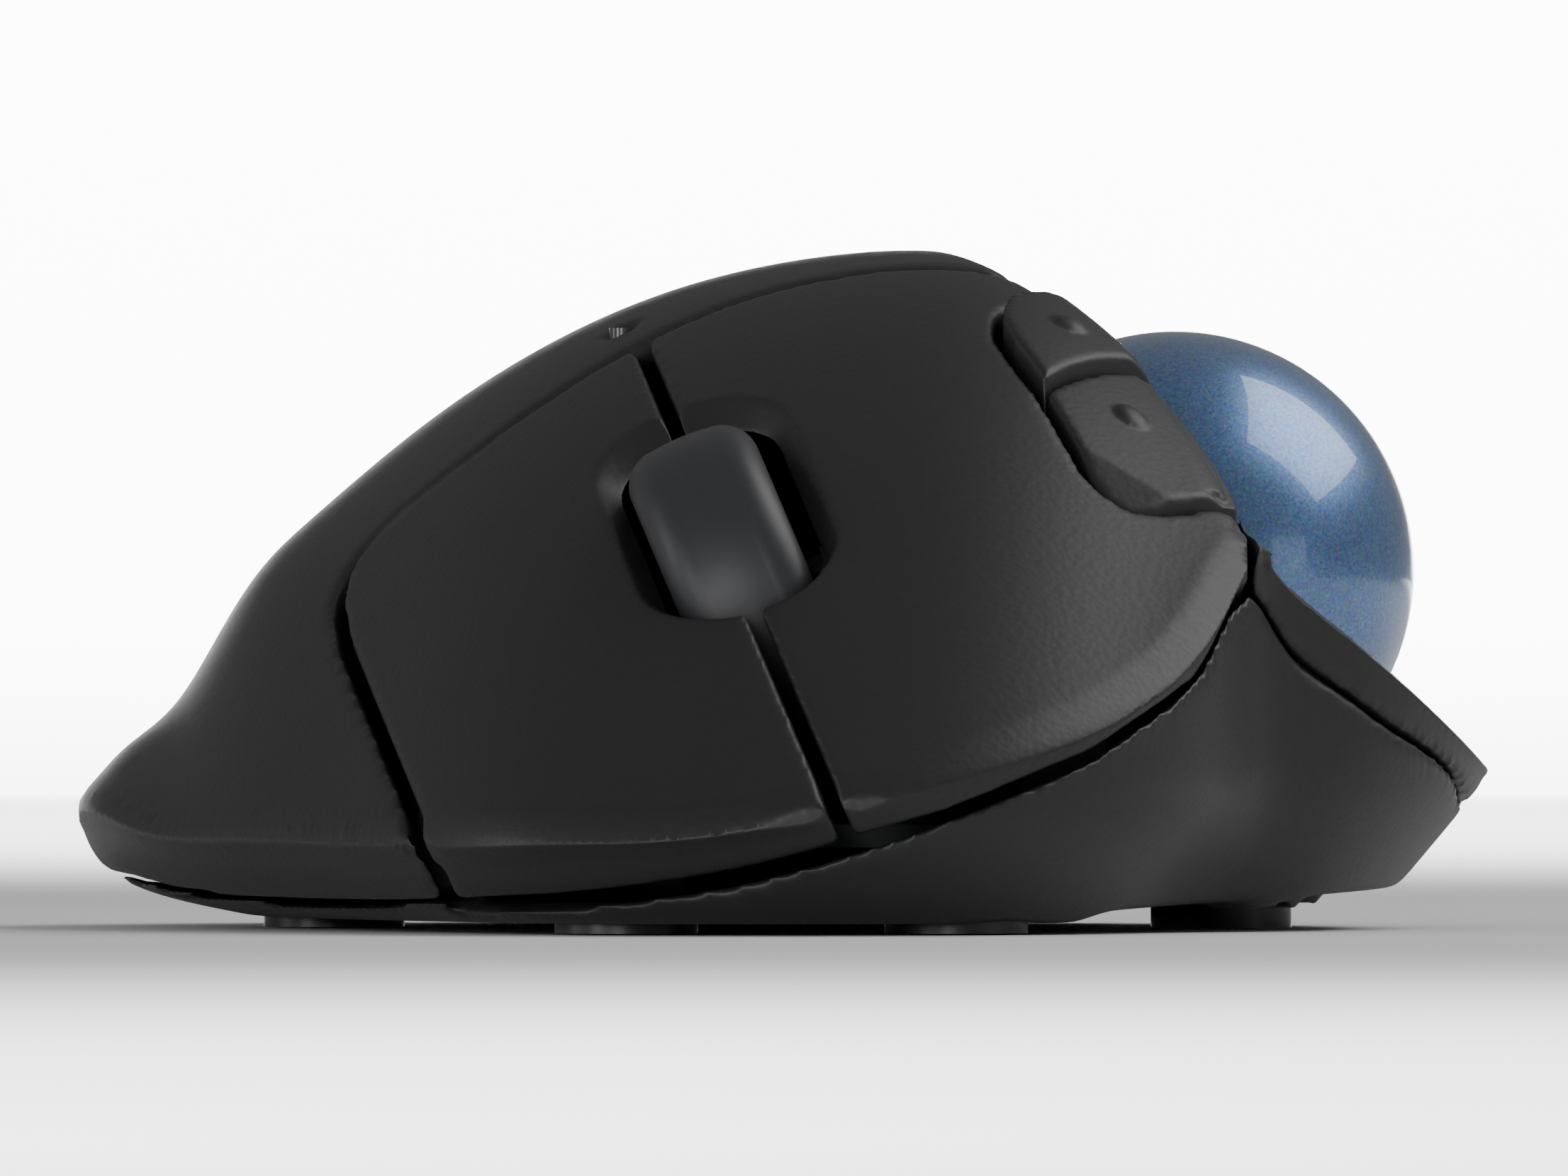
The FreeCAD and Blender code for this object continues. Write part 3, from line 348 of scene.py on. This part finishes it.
def moulded(node, voxel, rounds=5, proud=0.0, extra=None):
    """A shown piece for a shell node: even mesh, rolled outer edges, softened small edges."""
    mesh = remeshed(node, voxel)
    count = len(mesh.vertices)
    flat = np.zeros(count * 3, np.float32)
    mesh.vertices.foreach_get("co", flat)
    points = flat.reshape(-1, 3).astype(float)
    edges, degree = neighbours(mesh)
    reach = 4.2
    base = points - np.array([0, 0, proud])
    a, na = signed(hump_near, base, reach)
    b, nb = signed(scoop_near, points, reach)
    w, nw = signed(wall_near, points, reach)
    skin = np.minimum(np.minimum(np.abs(a), np.abs(b)), np.abs(w)) < 0.16
    edge = ~skin
    for _ in range(3):
        hit = averaged(edge[:, None].astype(float), edges, degree)[:, 0] > 0
        edge = edge | hit
    inner = ~edge

    def roll(points, a, na, b, nb, w, nw, both):
        move = np.zeros_like(points)
        x, y = points[:, 0], points[:, 1]
        free = np.ones(len(points), bool)
        for d1, n1, d2, n2, radius in ((a, na, w, nw, lip_radius(x, y)), (b, nb, w, nw, wing_radius(x, y)),
                                       (a, na, b, nb, rim_radius(x, y))):
            other = b if d1 is a and d2 is w else (a if d1 is b else w)
            u, v = radius - d1, radius - d2
            near = (u > 0) & (v > 0) & (d1 > -1) & (d2 > -1) & free
            length = np.sqrt(u * u + v * v)
            off = length - radius
            use = near & ((off > 0) | both)
            safe = np.maximum(length, 1e-6)
            move[use] += (off[use] / safe[use])[:, None] * (u[use][:, None] * n1[use] + v[use][:, None] * n2[use])
            free &= ~use
        return move, free

    nothing = np.zeros(count, bool)
    move, _ = roll(points, a, na, b, nb, w, nw, nothing)
    points += move
    for _ in range(rounds):
        points += 0.5 * (averaged(points, edges, degree) - points)
    if inner.any() and rounds:
        some = points[inner]
        a2, na2 = signed(hump_near, some - np.array([0, 0, proud]), reach)
        b2, nb2 = signed(scoop_near, some, reach)
        w2, nw2 = signed(wall_near, some, reach)
        move, free = roll(some, a2, na2, b2, nb2, w2, nw2, np.ones(len(some), bool))
        least = np.minimum(np.minimum(np.abs(a2), np.abs(b2)), np.abs(w2))
        for d, n in ((a2, na2), (b2, nb2), (w2, nw2)):
            use = free & (np.abs(d) == least) & (least < 0.3)
            move[use] -= d[use][:, None] * n[use]
        size = np.linalg.norm(move, axis=1)
        move[size > 0.6] = 0
        points[inner] += move
    if extra is not None:
        base = points - np.array([0, 0, proud])
        a, na = signed(hump_near, base, reach)
        points += extra(points, a, na)
        for _ in range(2):
            points += 0.5 * (averaged(points, edges, degree) - points)
    corners = np.array([v.co for v in nodes[node].data.vertices]) / MM
    points = np.clip(points, corners.min(0), corners.max(0))
    mesh.vertices.foreach_set("co", (points * MM).astype(np.float32).ravel())
    mesh.polygons.foreach_set("use_smooth", np.ones(len(mesh.polygons), bool))
    mesh.update()
    piece = bpy.data.objects.new(node + "_shell", mesh)
    scene.collection.objects.link(piece)
    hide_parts(node)
    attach(piece, nodes[node]["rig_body"])
    print("moulded", node, count, "skin", int(skin.sum()), "inner", int(inner.sum()))
    return piece


shells = {}
coarse = 1.0
for name, voxel, lift, detail in (
        ("top_cover", 0.5, 0, None), ("primary_button", 0.36, 0, well_chamfer), ("secondary_button", 0.36, 0, well_chamfer),
        ("bottom_case", 0.5, 0, None), ("forward_button", 0.25, 1.3, forward_detail), ("back_button", 0.25, 1.3, back_detail)):
    shells[name] = moulded(name, voxel * coarse, 5, lift, detail)


# ---------------------------------------------------------------- finishes

def material(name):
    made = bpy.data.materials.new(name)
    made.use_nodes = True
    tree = made.node_tree
    return made, tree, tree.nodes["Principled BSDF"]


def add(tree, kind, **settings):
    node = tree.nodes.new(kind)
    for key, value in settings.items():
        if key in node.inputs:
            node.inputs[key].default_value = value
        else:
            setattr(node, key, value)
    return node


def grainy(name, colour, rough, grain_mm, depth_mm, spread=0.12):
    """Moulded plastic: pebbled grain, with a little variation in tone and gloss."""
    made, tree, shader = material(name)
    link = tree.links.new
    place = add(tree, "ShaderNodeTexCoord")
    cells = add(tree, "ShaderNodeTexVoronoi", feature="SMOOTH_F1")
    cells.inputs["Scale"].default_value = 1000.0 / grain_mm
    cells.inputs["Smoothness"].default_value = 0.6
    fine = add(tree, "ShaderNodeTexNoise")
    fine.inputs["Scale"].default_value = 2600.0 / grain_mm
    fine.inputs["Detail"].default_value = 3.0
    broad = add(tree, "ShaderNodeTexNoise")
    broad.inputs["Scale"].default_value = 45.0
    mix = add(tree, "ShaderNodeMath", operation="MULTIPLY_ADD")
    bump = add(tree, "ShaderNodeBump")
    bump.inputs["Strength"].default_value = 0.3
    bump.inputs["Distance"].default_value = depth_mm * MM
    tone = add(tree, "ShaderNodeMapRange")
    tone.inputs["To Min"].default_value = 1 - spread
    tone.inputs["To Max"].default_value = 1 + spread
    paint = add(tree, "ShaderNodeMix", data_type="RGBA")
    paint.blend_type = "MULTIPLY"
    paint.inputs["Factor"].default_value = 1.0
    gloss = add(tree, "ShaderNodeMapRange")
    gloss.inputs["To Min"].default_value = rough - 0.06
    gloss.inputs["To Max"].default_value = rough + 0.06
    for texture in (cells, fine, broad):
        link(place.outputs["Object"], texture.inputs["Vector"])
    link(fine.outputs["Fac"], mix.inputs[0])
    mix.inputs[1].default_value = 0.35
    link(cells.outputs["Distance"], mix.inputs[2])
    link(mix.outputs[0], bump.inputs["Height"])
    link(bump.outputs["Normal"], shader.inputs["Normal"])
    link(broad.outputs["Fac"], tone.inputs["Value"])
    link(tone.outputs["Result"], paint.inputs["B"])
    paint.inputs["A"].default_value = (*colour, 1)
    link(paint.outputs["Result"], shader.inputs["Base Color"])
    link(fine.outputs["Fac"], gloss.inputs["Value"])
    link(gloss.outputs["Result"], shader.inputs["Roughness"])
    return made


shell_finish = grainy("shell_finish", (0.016, 0.016, 0.0165), 0.46, 0.55, 0.05)
inner_finish = grainy("inner_finish", (0.012, 0.012, 0.012), 0.6, 0.9, 0.02)
tyre_finish = grainy("tyre_finish", (0.03, 0.031, 0.034), 0.45, 0.25, 0.006, 0.06)
for piece in shells.values():
    piece.data.materials.clear()
    piece.data.materials.append(shell_finish)


def ball_paint():
    made, tree, shader = material("ball_paint")
    link = tree.links.new
    place = add(tree, "ShaderNodeTexCoord")
    flecks = add(tree, "ShaderNodeTexVoronoi", feature="F1")
    flecks.inputs["Scale"].default_value = 5200.0
    mist = add(tree, "ShaderNodeTexNoise")
    mist.inputs["Scale"].default_value = 5000.0
    mist.inputs["Detail"].default_value = 4.0
    ramp = add(tree, "ShaderNodeValToRGB")
    ramp.color_ramp.elements[0].position = 0.3
    ramp.color_ramp.elements[0].color = (0.1, 0.19, 0.39, 1)
    ramp.color_ramp.elements[1].position = 0.75
    ramp.color_ramp.elements[1].color = (0.17, 0.3, 0.56, 1)
    mix = add(tree, "ShaderNodeMix", data_type="RGBA")
    mix.inputs["Factor"].default_value = 0.35
    for texture in (flecks, mist):
        link(place.outputs["Object"], texture.inputs["Vector"])
    link(mist.outputs["Fac"], ramp.inputs["Fac"])
    link(ramp.outputs["Color"], mix.inputs["A"])
    link(flecks.outputs["Color"], mix.inputs["B"])
    mix.blend_type = "SOFT_LIGHT"
    link(mix.outputs["Result"], shader.inputs["Base Color"])
    shader.inputs["Metallic"].default_value = 0.8
    shader.inputs["Roughness"].default_value = 0.33
    shader.inputs["Coat Weight"].default_value = 1.0
    shader.inputs["Coat Roughness"].default_value = 0.02
    return made


def speckled(name, colour, rough, metal=0.0, scale=600.0, spread=0.1):
    made, tree, shader = material(name)
    link = tree.links.new
    place = add(tree, "ShaderNodeTexCoord")
    noise = add(tree, "ShaderNodeTexNoise")
    noise.inputs["Scale"].default_value = scale
    tone = add(tree, "ShaderNodeMapRange")
    tone.inputs["To Min"].default_value = 1 - spread
    tone.inputs["To Max"].default_value = 1 + spread
    paint = add(tree, "ShaderNodeMix", data_type="RGBA")
    paint.blend_type = "MULTIPLY"
    paint.inputs["Factor"].default_value = 1.0
    paint.inputs["A"].default_value = (*colour, 1)
    link(place.outputs["Object"], noise.inputs["Vector"])
    link(noise.outputs["Fac"], tone.inputs["Value"])
    link(tone.outputs["Result"], paint.inputs["B"])
    link(paint.outputs["Result"], shader.inputs["Base Color"])
    shader.inputs["Roughness"].default_value = rough
    shader.inputs["Metallic"].default_value = metal
    return made


finishes = {
    "shell_charcoal": shell_finish, "tyre_rubber": tyre_finish, "inner_plastic": inner_finish,
    "steel": speckled("steel", (0.55, 0.55, 0.56), 0.3, 1.0, 900),
    "ball_blue": ball_paint(),
    "bearing_ceramic": speckled("bearing_ceramic", (0.82, 0.82, 0.8), 0.2, 0.0, 700, 0.04),
    # board_green is darkened almost to black, below the board's own green: painted shade where the board shows through
    # the gaps between shell parts
    "board_green": speckled("board_green", (0.006, 0.03, 0.013), 0.5, 0.0, 500, 0.2),
    "lens_clear": speckled("lens_clear", (0.05, 0.05, 0.052), 0.15, 0.0, 400, 0.05),
    "cell_jacket": speckled("cell_jacket", (0.35, 0.35, 0.34), 0.35, 0.3, 300, 0.1),
    "receiver_metal": speckled("receiver_metal", (0.6, 0.6, 0.6), 0.3, 1.0, 900),
    "foot_slip": speckled("foot_slip", (0.02, 0.02, 0.02), 0.35, 0.0, 700),
}
for part in frame["record"]["subparts"]:
    name = part["node"]
    if name in shells:
        continue
    mesh = nodes[name].data
    mesh.materials.clear()
    mesh.materials.append(finishes[part["material_slot"]])


# ---------------------------------------------------------------- stage, light and camera

def sheet_mesh(name, points, faces, finish):
    mesh = bpy.data.meshes.new(name)
    mesh.from_pydata(points, [], faces)
    mesh.materials.append(finish)
    mesh.polygons.foreach_set("use_smooth", np.ones(len(mesh.polygons), bool))
    made = bpy.data.objects.new(name, mesh)
    scene.collection.objects.link(made)
    return made


def sweep_floor():
    """A pale floor that curves up into a low wall far behind."""
    profile = [(-3.0, 0.0), (2.0, 0.0)]
    profile += [(2.0 + 1.5 * math.sin(math.radians(t)), 1.5 - 1.5 * math.cos(math.radians(t))) for t in range(9, 46, 9)]
    points = []
    for y, z in profile:
        points += [(-5.0, y, z - 0.0001), (5.0, y, z - 0.0001)]
    faces = [(2 * i, 2 * i + 1, 2 * i + 3, 2 * i + 2) for i in range(len(profile) - 1)]
    return sheet_mesh("floor", points, faces, speckled("floor_paint", (0.93, 0.93, 0.93), 0.9, 0.0, 3.0, 0.01))


sweep_floor()


def panel(name, place, aim, wide, tall, power, colour=(1, 1, 1)):
    light = bpy.data.lights.new(name, "AREA")
    light.shape = "RECTANGLE"
    light.size, light.size_y = wide, tall
    light.energy = power
    light.color = colour
    made = bpy.data.objects.new(name, light)
    made.location = place
    made.rotation_euler = (Vector(aim) - Vector(place)).to_track_quat("-Z", "Y").to_euler()
    scene.collection.objects.link(made)
    return made


def lamp(name, place, aim, cone, power, soft=0.3):
    """A round lamp that lights one patch of the sweep, well clear of the mouse."""
    light = bpy.data.lights.new(name, "SPOT")
    light.energy = power
    light.spot_size = math.radians(cone)
    light.spot_blend = 0.6
    light.shadow_soft_size = soft
    made = bpy.data.objects.new(name, light)
    made.location = place
    made.rotation_euler = (Vector(aim) - Vector(place)).to_track_quat("-Z", "Y").to_euler()
    scene.collection.objects.link(made)


panel("key_left", (-0.9, -0.1, 0.2), (0, 0, 0.02), 0.3, 0.4, 1.1)
panel("ball_soft", (0.42, 0.1, 0.45), (0.028, 0, 0.03), 0.5, 0.4, 2.0)
panel("right_soft", (0.8, -0.5, 0.1), (0.02, 0, 0.02), 0.3, 0.3, 0.2)
panel("left_fill", (-0.9, -0.9, 0.12), (0, 0, 0.02), 0.35, 0.3, 2.6)
panel("front_fill", (-0.3, -1.25, 0.22), (0, 0, 0.02), 0.35, 0.35, 3.8)
lamp("far_lamp", (0.0, 2.5, 2.2), (0, 2.6, 0.0), 40, 2600)
lamp("back_lamp", (0.0, 1.4, 2.2), (0, 1.3, 0.0), 38, 900)
lamp("front_lamp", (0.0, -1.2, 2.2), (0, -1.1, 0.0), 36, 700)
world = bpy.data.worlds.new("room")
scene.world = world
world.use_nodes = True
world.node_tree.nodes["Background"].inputs["Color"].default_value = (1, 1, 1, 1)
world.node_tree.nodes["Background"].inputs["Strength"].default_value = 0.22

camera_data = bpy.data.cameras.new("camera")
camera = bpy.data.objects.new("camera", camera_data)
scene.collection.objects.link(camera)
scene.camera = camera
camera_data.sensor_width = 36.0
camera_data.lens = 971.6
camera.location = (0.0, -3.0, 0.02407)
camera.rotation_euler = (math.radians(90), 0, 0)
camera_data.clip_start, camera_data.clip_end = 0.1, 50.0
